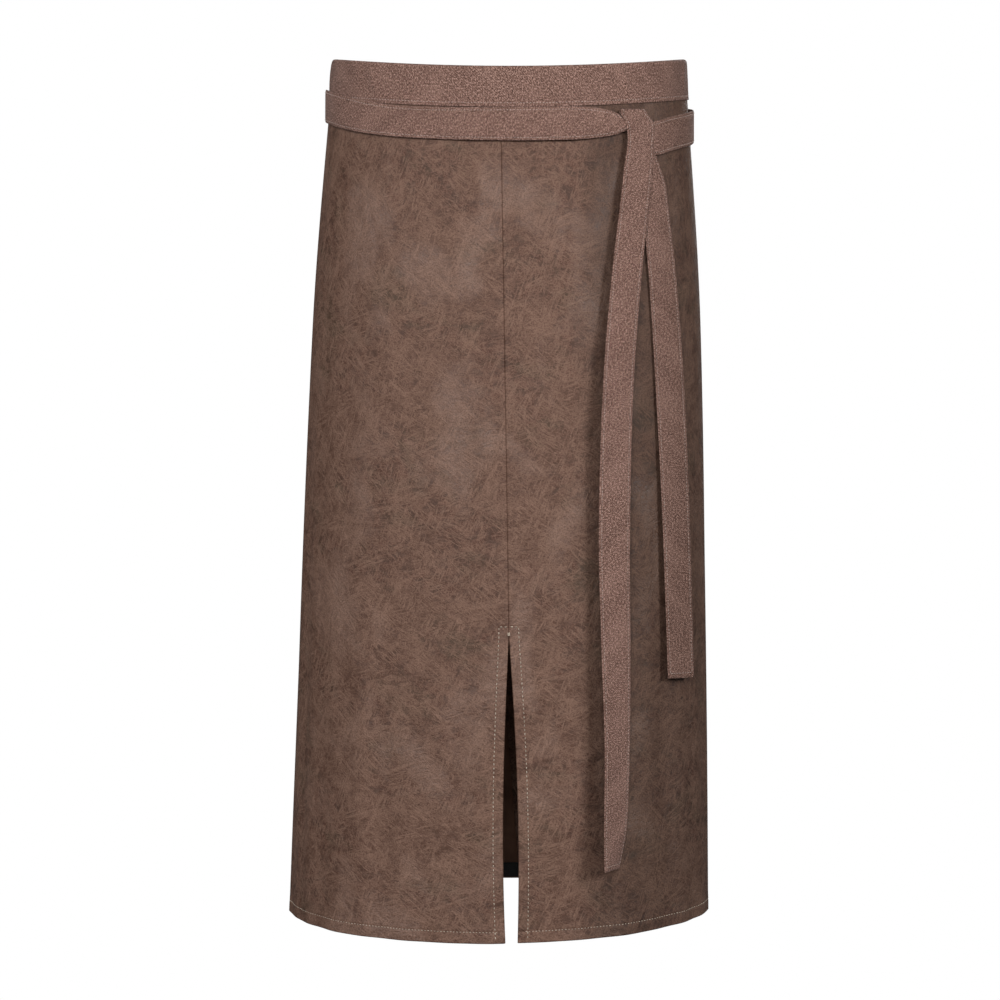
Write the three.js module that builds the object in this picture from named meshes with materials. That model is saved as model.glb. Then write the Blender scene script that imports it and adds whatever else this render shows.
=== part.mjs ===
// A waist apron as it hangs when worn: two leather-cloth panels joined down the centre front above a walking slit,
// a folded canvas waistband, and two canvas ties that cross behind, come round and are half-knotted at the front.
// Millimetres, +Z up, the front facing -Y. The origin is the middle of the waist opening, level with the
// top of the waistband at the sides.
import * as THREE from "three";

// The body of the apron.
const LENGTH = 800;
const WAIST_HALF_WIDTH = 167;
const HIP_HALF_WIDTH = 182.7;
const HEM_HALF_WIDTH = 197.5;
const WAIST_HALF_DEPTH = 100;
const HIP_FRONT_DEPTH = 110;
const HIP_BACK_DEPTH = 124;
const HEM_FRONT_DEPTH = 122;
const HEM_BACK_DEPTH = 125;
const HIP_DROP = 250;
const SWAY_HIP = -2.7;
const SWAY_HEM = -9;

// How far the waist edge and the hem stand above a level plane.
const WAIST_RISE = { front: -19.5, side: 0, back: 5 };
const HEM_RISE = { front: -19.5, side: -2, back: 11 };
const HEM_ROLL = 4;

// Cloths, threads and the clearances between layers.
const LEATHER = 1.2;
const CANVAS = 0.9;
const STRAP = 1.6;
const INTERLINING = 0.6;
const TAPE = 0.4;
const THREAD = 0.4;
const THREAD_WIDTH = 0.7;
const CLEAR = 0.4;
const THREAD_CLEAR = 0.3;

// Seams, turnings and the slit.
const SEAM_X = { waist: -8.8, slit: -0.8, hem: 1.7 };
const SEAM_GAP = 0.4;
const TURNING = 14;
const TURNING_ROW = 10;
const SLIT_LENGTH = 280;
const SLIT_HALF_OPENING = 7.1;
const SLIT_OPENING_TURN = 2.24;
const SLIT_ROW = 9;
const SLIT_BOX_ABOVE = 7;
const BARTACK_HALF_WIDTH = 2;
const BARTACK_HEIGHT = 1.2;
const HEM_TAPE_WIDTH = 15;
const HEM_TAPE_RISE = 1;
const HEM_ROW = 10;

// The waistband and the open back.
const WAISTBAND_HEIGHT = 38;
const WAISTBAND_ROW = 3.5;
const WAISTBAND_SEAM = 10;
const BACK_HALF_GAP = 40;
const HEM_OVERLAP = 25;
const OVERLAP_START_DROP = 90;
const OVERLAP_FULL_DROP = 380;

// The ties.
const TIE_WIDTH = 30;
const TIE_ROW = 2.2;
const TIE_SEWN_ON = 25;
const TIE_LEFT_BELOW_BAND = 6;
const TIE_RIGHT_BELOW_BAND = 25.5;
const TIE_BELOW_BAND = 0.5;
const CROSSING_SPARE = 6;
const KNOT_ANGLE = 0.765;
const KNOT_BELOW_BAND = 19.5;
const KNOT_WIDTH = 20;
const KNOT_RIGHT_BELOW_BAND = 35;
const LOOP_BACK_LEG = 27;
const LOOP_FRONT_LEG = 47;
const LONG_TAIL_END = 738;
const SHORT_TAIL_START = 230;
const SHORT_TAIL_END = 572;

// Facets.
const PANEL_STEPS = 34;
const BAND_STEPS = 60;
const TIE_STEPS = 36;
const BACK_STEPS = 16;
const FOLD_STEPS = 4;

const SLIT_TOP = LENGTH - SLIT_LENGTH;
const PANEL_TOP = WAISTBAND_HEIGHT - WAISTBAND_SEAM;
const TURN_RADIUS = (LEATHER + CLEAR) / 2;
const PANEL_FACE = LEATHER / 2;
const TURNING_FACE = -PANEL_FACE - CLEAR - LEATHER;
const BAND_OUT = PANEL_FACE + CLEAR + CANVAS / 2;
const BAND_IN = TURNING_FACE - CLEAR - CANVAS / 2;
const BAND_RADIUS = (BAND_OUT - BAND_IN) / 2;
const BAND_FACE = BAND_OUT + CANVAS / 2;
const ROW_OUT = THREAD_CLEAR + THREAD / 2;
const UNDER_LEVEL = PANEL_FACE + CLEAR + STRAP / 2;
const TIE_LEVEL = UNDER_LEVEL + STRAP + CLEAR;
const OVER_LEVEL = TIE_LEVEL + STRAP + CLEAR;
const CROSSING_LEVEL = TIE_LEVEL + STRAP + 2 * THREAD_CLEAR + THREAD;
const OVERLAP_RAISE = PANEL_FACE + 2 * THREAD_CLEAR + THREAD - TURNING_FACE;
const BACK_ANGLE = Math.PI - Math.asin(BACK_HALF_GAP / WAIST_HALF_WIDTH);
const SEWN_ANGLE = Math.asin((BACK_HALF_GAP + TIE_SEWN_ON) / WAIST_HALF_WIDTH);
const TIE_LEFT_DROP = WAISTBAND_HEIGHT + TIE_LEFT_BELOW_BAND;
const TIE_RIGHT_DROP = WAISTBAND_HEIGHT + TIE_RIGHT_BELOW_BAND;
const KNOT_DROP = WAISTBAND_HEIGHT + KNOT_BELOW_BAND;
const KNOT_RIGHT_DROP = WAISTBAND_HEIGHT + KNOT_RIGHT_BELOW_BAND;
const LOOP_TOP = KNOT_DROP - KNOT_WIDTH / 2 - STRAP - CLEAR - STRAP / 2;
const CROSSED_DROP = WAISTBAND_HEIGHT / 2 + TIE_WIDTH + CROSSING_SPARE;
const TIE_FRONT_DROP = WAISTBAND_HEIGHT + TIE_BELOW_BAND + TIE_WIDTH / 2;

const apron = new THREE.Group();

const leather = { color: 0x6a4e42, roughness: 0.55, metalness: 0 };
const canvas = { color: 0x7c6057, roughness: 0.9, metalness: 0 };
const felt = { color: 0xb8aea2, roughness: 1, metalness: 0 };
const tape = { color: 0x16110f, roughness: 0.9, metalness: 0 };
const thread = { color: 0x8a6f62, roughness: 0.8, metalness: 0 };

function mix(a, b, share) {
  return a + (b - a) * share;
}

function ramp(from, to, place) {
  return THREE.MathUtils.smoothstep(place, from, to);
}

function spread(from, to, steps) {
  return Array.from({ length: steps + 1 }, (_, i) => mix(from, to, i / steps));
}

// A smooth curve through [place, value] pairs, read at one place.
function through(pairs, place) {
  const last = pairs.length - 2;
  let i = 0;
  while (i < last && place > pairs[i + 1][0]) i += 1;
  const [x0, y0] = pairs[i];
  const [x1, y1] = pairs[i + 1];
  const before = pairs[Math.max(i - 1, 0)];
  const after = pairs[Math.min(i + 2, last + 1)];
  const s = (place - x0) / (x1 - x0);
  const rise0 = ((y1 - before[1]) / (x1 - before[0])) * (x1 - x0);
  const rise1 = ((after[1] - y0) / (after[0] - x0)) * (x1 - x0);
  const bend = s * s * (3 - 2 * s);
  return mix(y0, y1, bend) + s * (1 - s) * ((1 - s) * rise0 - s * rise1);
}

// Rise at an angle round the apron, 0 at the front and half a turn at the back.
function rise({ front, side, back }, angle) {
  const saddle = ((front + back) / 2 - side) / 2;
  return side + saddle + ((front - back) / 2) * Math.cos(angle) + saddle * Math.cos(2 * angle);
}

// The level section of the apron at a drop below the waist edge: its middle, half width and half depth.
function section(drop, angle) {
  const front = Math.cos(angle) > 0;
  const hip = front ? HIP_FRONT_DEPTH : HIP_BACK_DEPTH;
  const hem = front ? HEM_FRONT_DEPTH : HEM_BACK_DEPTH;
  return {
    middle: through([[0, 0], [HIP_DROP, SWAY_HIP], [LENGTH, SWAY_HEM]], drop),
    width: through([[0, WAIST_HALF_WIDTH], [HIP_DROP, HIP_HALF_WIDTH], [LENGTH, HEM_HALF_WIDTH]], drop),
    depth: through([[0, WAIST_HALF_DEPTH], [HIP_DROP, hip], [LENGTH, hem]], drop),
  };
}

// A point on the apron: an angle round it, a drop below the waist edge, and a distance out from the cloth's middle.
function onApron(angle, drop, out) {
  const { middle, width, depth } = section(drop, angle);
  const facing = new THREE.Vector2(depth * Math.sin(angle), -width * Math.cos(angle)).normalize();
  const share = drop / LENGTH;
  const lift = mix(rise(WAIST_RISE, angle), rise(HEM_RISE, angle) + HEM_ROLL * Math.sin(angle), share);
  return new THREE.Vector3(
    middle + width * Math.sin(angle) + out * facing.x,
    -depth * Math.cos(angle) + out * facing.y,
    lift - drop,
  );
}

// Millimetres of cloth to one radian at a place on the apron.
function reach(angle, drop) {
  const { width, depth } = section(drop, angle);
  return Math.hypot(width * Math.cos(angle), depth * Math.sin(angle));
}

// The angle of a place on the front, or on the back counted through the left or the right side.
function frontAngle(x, drop) {
  const { middle, width } = section(drop, 0);
  return Math.asin((x - middle) / width);
}

function backAngle(x, drop, side) {
  const { middle, width } = section(drop, Math.PI);
  return side * Math.PI - Math.asin((x - middle) / width);
}

// One closed solid: a box of columns by rows whose every corner is placed by hand. side is -1 inside, 1 outside.
function cloth(name, look, columns, rows, place) {
  const box = new THREE.BoxGeometry(1, 1, 1, columns.length - 1, rows.length - 1, 1);
  const corners = box.attributes.position;
  for (let i = 0; i < corners.count; i += 1) {
    const column = columns[Math.round((corners.getX(i) + 0.5) * (columns.length - 1))];
    const row = rows[Math.round((corners.getY(i) + 0.5) * (rows.length - 1))];
    const spot = place(column, row, Math.sign(corners.getZ(i)));
    corners.setXYZ(i, spot.x, spot.y, spot.z);
  }
  box.computeVertexNormals();
  const mesh = new THREE.Mesh(box, new THREE.MeshStandardMaterial(look));
  mesh.name = name;
  apron.add(mesh);
}

// Stations of a cloth folded back on itself, from the end of the hidden leg round the fold to the outer leg:
// how far in from the folded edge, how far out, and which way the cloth's outside faces there.
function fold(radius, thickness, hiddenLeg) {
  const bend = spread(Math.PI, 0, FOLD_STEPS).map((turn) => ({
    inward: radius + thickness / 2 - radius * Math.sin(turn),
    out: radius * (Math.cos(turn) - 1),
    faceIn: -Math.sin(turn),
    faceOut: Math.cos(turn),
  }));
  return [{ ...bend[0], inward: hiddenLeg }, ...bend];
}

function skin(station, side, thickness) {
  const half = (side * thickness) / 2;
  return {
    inward: station.inward + half * station.faceIn,
    out: station.out + half * station.faceOut,
  };
}

// Half the opening of the slit, and the line that the seam and the slit follow down the front.
function slitHalf(drop) {
  const share = Math.max(0, drop - SLIT_TOP) / SLIT_LENGTH;
  return SEAM_GAP / 2 + SLIT_HALF_OPENING * Math.sin(SLIT_OPENING_TURN * share);
}

function seamX(drop) {
  return through([[0, SEAM_X.waist], [SLIT_TOP, SEAM_X.slit], [LENGTH, SEAM_X.hem]], drop);
}

// Where each panel starts and ends, as angles at a drop.
const edges = {
  left: {
    start: (drop) => backAngle(mix(-BACK_HALF_GAP, HEM_OVERLAP, drop / LENGTH), drop, -1),
    end: (drop) => frontAngle(seamX(drop) - slitHalf(drop), drop),
  },
  right: {
    start: (drop) => frontAngle(seamX(drop) + slitHalf(drop), drop),
    end: (drop) => backAngle(mix(BACK_HALF_GAP, -HEM_OVERLAP, drop / LENGTH), drop, 1),
  },
};

// The right panel lies outside the left one where they overlap behind.
function raise(angle, drop) {
  const behind = ramp(Math.PI - 0.5, Math.PI - 0.22, angle);
  return OVERLAP_RAISE * behind * ramp(OVERLAP_START_DROP, OVERLAP_FULL_DROP, drop);
}

// Rows of a panel from the hem up, with one at the top of the slit.
function panelRows(bottom, top) {
  const slit = spread(bottom, SLIT_TOP, 5);
  return [...slit, ...spread(SLIT_TOP, top, 7).slice(1)];
}

function panel(side) {
  const { start, end } = edges[side];
  const turned = fold(TURN_RADIUS, LEATHER, TURNING);
  const foldDepth = TURN_RADIUS + LEATHER / 2;
  const columns = [
    ...turned.map((station) => ({ station, edge: start, way: 1 })),
    ...spread(0, 1, PANEL_STEPS).slice(1, -1).map((share) => ({ share })),
    ...[...turned].reverse().map((station) => ({ station, edge: end, way: -1 })),
  ];
  cloth(`panel_${side}`, leather, columns, panelRows(LENGTH, PANEL_TOP), (column, drop, face) => {
    const from = start(drop);
    const to = end(drop);
    if (column.station) {
      const { inward, out } = skin(column.station, face, LEATHER);
      const edge = column.edge(drop);
      const angle = edge + (column.way * inward) / reach(edge, drop);
      return onApron(angle, drop, out + raise(angle, drop));
    }
    const first = from + foldDepth / reach(from, drop);
    const last = to - foldDepth / reach(to, drop);
    const angle = mix(first, last, column.share);
    return onApron(angle, drop, (face * LEATHER) / 2 + raise(angle, drop));
  });
}

// A strip along a panel near its hem, inside or outside it, clear of the side turnings by its inset.
function hemStrip(name, look, side, { low, high, inset, out, thickness }) {
  const { start, end } = edges[side];
  cloth(name, look, spread(0, 1, PANEL_STEPS), [high, low], (share, drop, face) => {
    const first = start(drop) + inset / reach(start(drop), drop);
    const last = end(drop) - inset / reach(end(drop), drop);
    const angle = mix(first, last, share);
    return onApron(angle, drop, out + (face * thickness) / 2 + raise(angle, drop));
  });
}

function hemTape(side) {
  hemStrip(`hem_tape_${side}`, tape, side, {
    high: LENGTH - HEM_TAPE_RISE,
    low: LENGTH - HEM_TAPE_WIDTH,
    inset: TURNING + CLEAR,
    out: -PANEL_FACE - CLEAR - TAPE / 2,
    thickness: TAPE,
  });
}

function hemStitching(side) {
  hemStrip(`hem_stitching_${side}`, thread, side, {
    high: LENGTH - HEM_ROW + THREAD_WIDTH / 2,
    low: LENGTH - HEM_ROW - THREAD_WIDTH / 2,
    inset: TURNING_ROW + THREAD_WIDTH,
    out: PANEL_FACE + ROW_OUT,
    thickness: THREAD,
  });
}

// A row of stitches down a panel's back edge, from under the waistband to the hem row.
function backStitching(side) {
  const { start, end } = edges[side];
  const edge = side === "left" ? start : end;
  const way = side === "left" ? 1 : -1;
  const across = way > 0 ? [-1, 1] : [1, -1];
  const rows = panelRows(LENGTH - THREAD_WIDTH, WAISTBAND_HEIGHT + CLEAR);
  cloth(`back_edge_stitching_${side}`, thread, across, rows, (half, drop, face) => {
    const inward = TURNING_ROW + (half * THREAD_WIDTH) / 2;
    const angle = edge(drop) + (way * inward) / reach(edge(drop), drop);
    return onApron(angle, drop, PANEL_FACE + ROW_OUT + (face * THREAD) / 2 + raise(angle, drop));
  });
}

function seamStitching() {
  const rows = spread(SLIT_TOP, WAISTBAND_HEIGHT + CLEAR, 7);
  cloth("centre_seam_stitching", thread, [-1, 1], rows, (half, drop, face) => {
    const x = seamX(drop) + (half * THREAD_WIDTH) / 2;
    return onApron(frontAngle(x, drop), drop, TURNING_FACE - ROW_OUT + (face * THREAD) / 2);
  });
}

// The stitched box round the slit: up the left side, across above it and down the right side.
function slitStitching() {
  const top = SLIT_TOP - SLIT_BOX_ABOVE;
  const low = LENGTH - HEM_ROW - THREAD_WIDTH - THREAD_CLEAR;
  const side = (drop, way) => seamX(drop) + way * (slitHalf(drop) + SLIT_ROW);
  const leg = (way) => spread(low, SLIT_TOP, 5).map((drop) => (
    { x: side(drop, way), drop, acrossX: way, acrossDrop: 0 }
  ));
  const corner = (way) => ({ x: side(top, way), drop: top, acrossX: way, acrossDrop: -1 });
  const path = [...leg(-1), corner(-1), corner(1), ...leg(1).reverse()];
  cloth("slit_stitching", thread, path, [-1, 1], (spot, half, face) => {
    const drop = spot.drop + (half * spot.acrossDrop * THREAD_WIDTH) / 2;
    const x = spot.x + (half * spot.acrossX * THREAD_WIDTH) / 2;
    return onApron(frontAngle(x, drop), drop, PANEL_FACE + ROW_OUT + (face * THREAD) / 2);
  });
}

function slitBartack() {
  const rows = [SLIT_TOP - BARTACK_HEIGHT, SLIT_TOP - 2 * BARTACK_HEIGHT];
  cloth("slit_bartack", thread, [-1, 1], rows, (half, drop, face) => {
    const x = seamX(drop) + half * BARTACK_HALF_WIDTH;
    return onApron(frontAngle(x, drop), drop, PANEL_FACE + ROW_OUT + (face * THREAD) / 2);
  });
}

// One canvas strip folded over at the top, its two legs holding the panels' top edges between them.
function waistband() {
  const turned = fold(BAND_RADIUS, CANVAS, WAISTBAND_HEIGHT);
  const outer = { inward: WAISTBAND_HEIGHT, out: 0, faceIn: 0, faceOut: 1 };
  const rows = [...turned, outer].reverse();
  cloth("waistband", canvas, spread(-BACK_ANGLE, BACK_ANGLE, BAND_STEPS), rows, (angle, row, face) => {
    const { inward, out } = skin(row, face, CANVAS);
    return onApron(angle, inward, BAND_OUT + out);
  });
}

function interlining() {
  const rows = [PANEL_TOP - CLEAR, BAND_RADIUS];
  const columns = spread(-BACK_ANGLE, BACK_ANGLE, BAND_STEPS);
  const out = (BAND_OUT + BAND_IN) / 2;
  cloth("waistband_interlining", felt, columns, rows, (angle, drop, face) => (
    onApron(angle, drop, out + (face * INTERLINING) / 2)
  ));
}

function waistbandStitching() {
  const middle = WAISTBAND_HEIGHT - WAISTBAND_ROW;
  const rows = [middle + THREAD_WIDTH / 2, middle - THREAD_WIDTH / 2];
  const end = BACK_ANGLE - (2 * WAISTBAND_ROW) / WAIST_HALF_WIDTH;
  cloth("waistband_stitching", thread, spread(-end, end, BAND_STEPS), rows, (angle, drop, face) => (
    onApron(angle, drop, BAND_FACE + ROW_OUT + (face * THREAD) / 2)
  ));
}

function waistbandEndStitching(side) {
  const way = side === "left" ? -1 : 1;
  const middle = way * (BACK_ANGLE - WAISTBAND_ROW / WAIST_HALF_WIDTH);
  const half = THREAD_WIDTH / 2 / WAIST_HALF_WIDTH;
  const rows = [WAISTBAND_HEIGHT - WAISTBAND_ROW, WAISTBAND_ROW];
  cloth(`waistband_end_stitching_${side}`, thread, [middle - half, middle + half], rows, (angle, drop, face) => (
    onApron(angle, drop, BAND_FACE + ROW_OUT + (face * THREAD) / 2)
  ));
}

// The ties, each as its middle line's drop and level at an angle. The left one comes round the left side to the
// front, over the right one where they cross behind; turned is how far it has gone past the middle of the back.
const leftTie = {
  from: -Math.PI - SEWN_ANGLE,
  to: 0.8,
  drop: (angle) => through([
    [-Math.PI - SEWN_ANGLE, WAISTBAND_HEIGHT / 2],
    [-Math.PI - 0.24, WAISTBAND_HEIGHT / 2 + 1],
    [-Math.PI + 0.24, CROSSED_DROP],
    [-Math.PI / 2, TIE_LEFT_DROP],
    [-0.7, TIE_FRONT_DROP - 2],
    [0, TIE_FRONT_DROP],
    [KNOT_ANGLE, KNOT_DROP],
  ], angle),
  level: (angle) => {
    const turned = angle + Math.PI;
    const over = ramp(-0.24, -0.19, turned) - ramp(0.25, 0.38, turned);
    return mix(TIE_LEVEL, CROSSING_LEVEL, over);
  },
  width: (angle) => mix(TIE_WIDTH, KNOT_WIDTH, ramp(KNOT_ANGLE - 0.4, KNOT_ANGLE - 0.12, angle)),
};

const rightTie = {
  from: KNOT_ANGLE + 0.085,
  to: Math.PI + SEWN_ANGLE,
  drop: (angle) => through([
    [KNOT_ANGLE, KNOT_RIGHT_DROP],
    [Math.PI / 2, TIE_RIGHT_DROP],
    [Math.PI - 0.24, CROSSED_DROP],
    [Math.PI + 0.24, WAISTBAND_HEIGHT / 2 + 1],
    [Math.PI + SEWN_ANGLE, WAISTBAND_HEIGHT / 2],
  ], angle),
  level: () => TIE_LEVEL,
  width: () => TIE_WIDTH,
};

// Columns of a tie, closer together where it is sewn on and crosses the other.
function tieColumns(from, to) {
  const back = 0.42;
  if (from < -Math.PI) {
    return [...spread(from, back - Math.PI, BACK_STEPS), ...spread(back - Math.PI, to, TIE_STEPS).slice(1)];
  }
  return [...spread(from, Math.PI - back, TIE_STEPS / 2), ...spread(Math.PI - back, to, BACK_STEPS).slice(1)];
}

function tieWrap(side, tie) {
  cloth(`${side}_tie_wrap`, canvas, tieColumns(tie.from, tie.to), [1, -1], (angle, half, face) => (
    onApron(angle, tie.drop(angle) + (half * tie.width(angle)) / 2, tie.level(angle) + (face * STRAP) / 2)
  ));
}

// The two rows of stitches along a tie, stopping short of the knot and of the sewn-on end.
function tieWrapStitching(side, tie) {
  const end = 1.5 * THREAD_WIDTH / WAIST_HALF_WIDTH;
  const sewn = TIE_SEWN_ON / WAIST_HALF_WIDTH;
  const from = side === "left" ? tie.from + sewn + end : tie.from + 0.09;
  const to = side === "left" ? KNOT_ANGLE - 0.14 : tie.to - sewn - end;
  for (const [row, way] of [["upper", -1], ["lower", 1]]) {
    const name = `${side}_tie_${row}_stitching`;
    cloth(name, thread, tieColumns(from, to), [1, -1], (angle, half, face) => {
      const middle = tie.drop(angle) + way * (tie.width(angle) / 2 - TIE_ROW);
      const out = tie.level(angle) + STRAP / 2 + ROW_OUT + (face * THREAD) / 2;
      return onApron(angle, middle + (half * THREAD_WIDTH) / 2, out);
    });
  }
}

// The stitches that hold a tie's end on the waistband: up one side of the sewn-on part, over and down the other.
function tieEndStitching(side, tie) {
  const way = side === "left" ? 1 : -1;
  const near = (side === "left" ? tie.from : tie.to) + (way * TIE_ROW) / WAIST_HALF_WIDTH;
  const far = near + (way * (TIE_SEWN_ON - 3 * TIE_ROW)) / WAIST_HALF_WIDTH;
  const low = Math.min(near, far);
  const high = Math.max(near, far);
  const halfHeight = TIE_WIDTH / 2 - 2 * TIE_ROW;
  const middle = WAISTBAND_HEIGHT / 2;
  const path = [
    { angle: low, drop: middle + halfHeight, turn: -1, fall: 0 },
    { angle: low, drop: middle - halfHeight, turn: -1, fall: -1 },
    { angle: high, drop: middle - halfHeight, turn: 1, fall: -1 },
    { angle: high, drop: middle + halfHeight, turn: 1, fall: 0 },
  ];
  cloth(`${side}_tie_end_stitching`, thread, path, [-1, 1], (spot, half, face) => {
    const shift = (half * THREAD_WIDTH) / 2;
    const angle = spot.angle + (spot.turn * shift) / WAIST_HALF_WIDTH;
    const level = tie.level(side === "left" ? tie.from : tie.to);
    return onApron(angle, spot.drop + spot.fall * shift, level + STRAP / 2 + ROW_OUT + (face * THREAD) / 2);
  });
}

// Straps that run down the apron: the middle line's angle and level at a drop, half the width to each side.
function hangingPoint(strap, half, drop, lift) {
  const middle = strap.angle(drop);
  const angle = middle + (half * TIE_WIDTH) / 2 / reach(middle, drop);
  return onApron(angle, drop, strap.level(drop) + lift);
}

const longTail = {
  top: LOOP_TOP + LOOP_FRONT_LEG,
  angle: (drop) => through([[KNOT_DROP, KNOT_ANGLE], [300, 0.584], [LONG_TAIL_END, 0.574]], drop),
  level: (drop) => through([[KNOT_DROP, OVER_LEVEL], [320, 11], [LONG_TAIL_END, 9]], drop),
};

const shortTail = {
  angle: (drop) => through([[KNOT_DROP, 0.85], [300, 0.93], [SHORT_TAIL_END, 1.03]], drop),
  level: (drop) => through([[KNOT_RIGHT_DROP + TIE_WIDTH, UNDER_LEVEL], [300, 5], [SHORT_TAIL_END, 6]], drop),
};

// The right tie turns up behind the left one and over its top edge, and hangs down in front.
function knotLoop() {
  const outer = { inward: LOOP_FRONT_LEG, out: 0, faceIn: 0, faceOut: 1 };
  const rows = [...fold(STRAP + CLEAR, STRAP, LOOP_BACK_LEG), outer].reverse();
  cloth("right_tie_loop", canvas, spread(-1, 1, 2), rows, (half, row, face) => {
    const { inward, out } = skin(row, face, STRAP);
    const middle = longTail.angle(Math.max(LOOP_TOP + inward, KNOT_DROP));
    const angle = middle + (half * TIE_WIDTH) / 2 / reach(middle, KNOT_DROP);
    return onApron(angle, LOOP_TOP + inward, OVER_LEVEL + out);
  });
}

// The left tie turns down behind the right one.
function knotTurn() {
  const rows = spread(SHORT_TAIL_START, LOOP_TOP + LOOP_BACK_LEG + CLEAR, 5);
  cloth("left_tie_turn", canvas, spread(-1, 1, 2), rows, (half, drop, face) => {
    const level = drop < KNOT_RIGHT_DROP + TIE_WIDTH ? UNDER_LEVEL : shortTail.level(drop);
    return hangingPoint({ ...shortTail, level: () => level }, half, drop, (face * STRAP) / 2);
  });
}

function tail(side, strap, top, end) {
  const rows = spread(end, top + THREAD_CLEAR, 9);
  cloth(`${side}_tie_tail`, canvas, spread(-1, 1, 2), rows, (half, drop, face) => (
    hangingPoint(strap, half, drop, (face * STRAP) / 2)
  ));
  for (const [row, way] of [["inner", -1], ["outer", 1]]) {
    const share = way * (1 - (2 * TIE_ROW) / TIE_WIDTH);
    const half = THREAD_WIDTH / TIE_WIDTH;
    const columns = [share - half, share + half];
    const inset = spread(end - TIE_ROW, top + TIE_ROW, 9);
    cloth(`${side}_tail_${row}_stitching`, thread, columns, inset, (place, drop, face) => (
      hangingPoint(strap, place, drop, STRAP / 2 + ROW_OUT + (face * THREAD) / 2)
    ));
  }
}

for (const side of ["left", "right"]) {
  panel(side);
  hemTape(side);
  hemStitching(side);
  backStitching(side);
  waistbandEndStitching(side);
}
seamStitching();
slitStitching();
slitBartack();
waistband();
interlining();
waistbandStitching();
for (const [side, tie] of [["left", leftTie], ["right", rightTie]]) {
  tieWrap(side, tie);
  tieWrapStitching(side, tie);
  tieEndStitching(side, tie);
}
knotLoop();
knotTurn();
tail("right", longTail, longTail.top, LONG_TAIL_END);
tail("left", shortTail, SHORT_TAIL_START, SHORT_TAIL_END);

export default apron;
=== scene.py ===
"""A waist apron of distressed leather cloth with a canvas waistband and ties, as it hangs when worn."""

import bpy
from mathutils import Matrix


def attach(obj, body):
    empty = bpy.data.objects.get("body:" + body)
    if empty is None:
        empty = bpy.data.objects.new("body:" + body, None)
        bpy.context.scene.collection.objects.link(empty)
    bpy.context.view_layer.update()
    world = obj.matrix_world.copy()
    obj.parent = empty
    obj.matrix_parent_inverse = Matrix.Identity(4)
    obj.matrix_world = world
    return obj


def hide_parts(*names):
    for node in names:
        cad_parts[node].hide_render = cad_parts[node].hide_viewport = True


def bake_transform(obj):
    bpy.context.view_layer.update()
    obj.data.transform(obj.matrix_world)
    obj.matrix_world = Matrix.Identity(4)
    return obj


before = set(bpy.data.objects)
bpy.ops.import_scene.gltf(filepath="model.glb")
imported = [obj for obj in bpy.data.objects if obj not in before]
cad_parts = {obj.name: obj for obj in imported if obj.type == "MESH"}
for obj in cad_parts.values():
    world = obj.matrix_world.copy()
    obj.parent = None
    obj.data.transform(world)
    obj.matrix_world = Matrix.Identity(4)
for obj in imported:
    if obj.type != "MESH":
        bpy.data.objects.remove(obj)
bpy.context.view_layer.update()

import math

import bpy
import numpy as np
from mathutils import Vector

# The apron's measures, in metres. The front faces -Y, and drops are counted down from the waistband's
# top edge. Angles run round the apron from the middle of its front, growing towards +X.
LEATHER = 0.0012
CANVAS = 0.0009
STIFFENING = 0.0005
STIFFENING_GAP = 0.0003
STRAP = 0.0016
CLEAR = 0.0004
WAISTBAND_HEIGHT = 0.038
WAISTBAND_ROW = 0.0035
WAISTBAND_SEAM = 0.010
TURNING = 0.014
TURNING_ROW = 0.010
HEM_ROW = 0.010
HEM_TAPE = 0.0004
HEM_TAPE_WIDTH = 0.015
SLIT_LENGTH = 0.280
SLIT_HALF_OPENING = 0.0071
SLIT_OPENING_TURN = 2.24
SLIT_ROW = 0.009
SLIT_BOX_ABOVE = 0.007
SEAM_GAP = -0.0001
BACK_HALF_GAP = 0.040
HEM_OVERLAP = 0.025
TIE_WIDTH = 0.030
TIE_ROW = 0.0022
STITCH = 0.0030
SLIT_STITCH = 0.0038
THREAD = 0.00062
SLIT_THREAD = 0.00085
ROW_HOLLOW = 0.00040
ROW_HALF_WIDTH = 0.0011
THREAD_SUNK = 0.00022

PANEL_FACE = LEATHER / 2
TURN_RADIUS = (LEATHER + CLEAR) / 2
TURNING_FACE = -PANEL_FACE - CLEAR - LEATHER
BAND_OUT = PANEL_FACE + CLEAR + CANVAS / 2
BAND_IN = TURNING_FACE - CLEAR - CANVAS / 2
BAND_RADIUS = (BAND_OUT - BAND_IN) / 2
BAND_FACE = BAND_OUT + CANVAS / 2
UNDER_LEVEL = PANEL_FACE + CLEAR + STRAP / 2
OVER_LEVEL = UNDER_LEVEL + 2 * (STRAP + CLEAR)
OVERLAP_RAISE = PANEL_FACE + 0.001 - TURNING_FACE

# The worn shape: level sections at the waist, the hips and the hem. The hem's and the waistband's heights
# are given in front, at the side and behind, and SEAM_X at the waist, the slit's head and the hem.
LENGTH = 0.800
HIP_DROP = 0.250
WAIST_HALF_WIDTH = 0.1656
HIP_HALF_WIDTH = 0.1827
HEM_HALF_WIDTH = 0.1962
WAIST_HALF_DEPTH = 0.100
HIP_FRONT_DEPTH = 0.110
HIP_BACK_DEPTH = 0.124
HEM_FRONT_DEPTH = 0.122
HEM_BACK_DEPTH = 0.125
SWAY_HIP = -0.0027
SWAY_HEM = -0.009
WAIST_RISE = (-0.0195, 0.0, 0.005)
HEM_RISE = (-0.0195, -0.002, 0.011)
HEM_ROLL = 0.0022
SEAM_X = (-0.0088, -0.0008, 0.0017)
SLIT_TOP = LENGTH - SLIT_LENGTH
SLIT_BOX_TOP = SLIT_TOP - SLIT_BOX_ABOVE
PANEL_TOP = WAISTBAND_HEIGHT - WAISTBAND_SEAM
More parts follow.
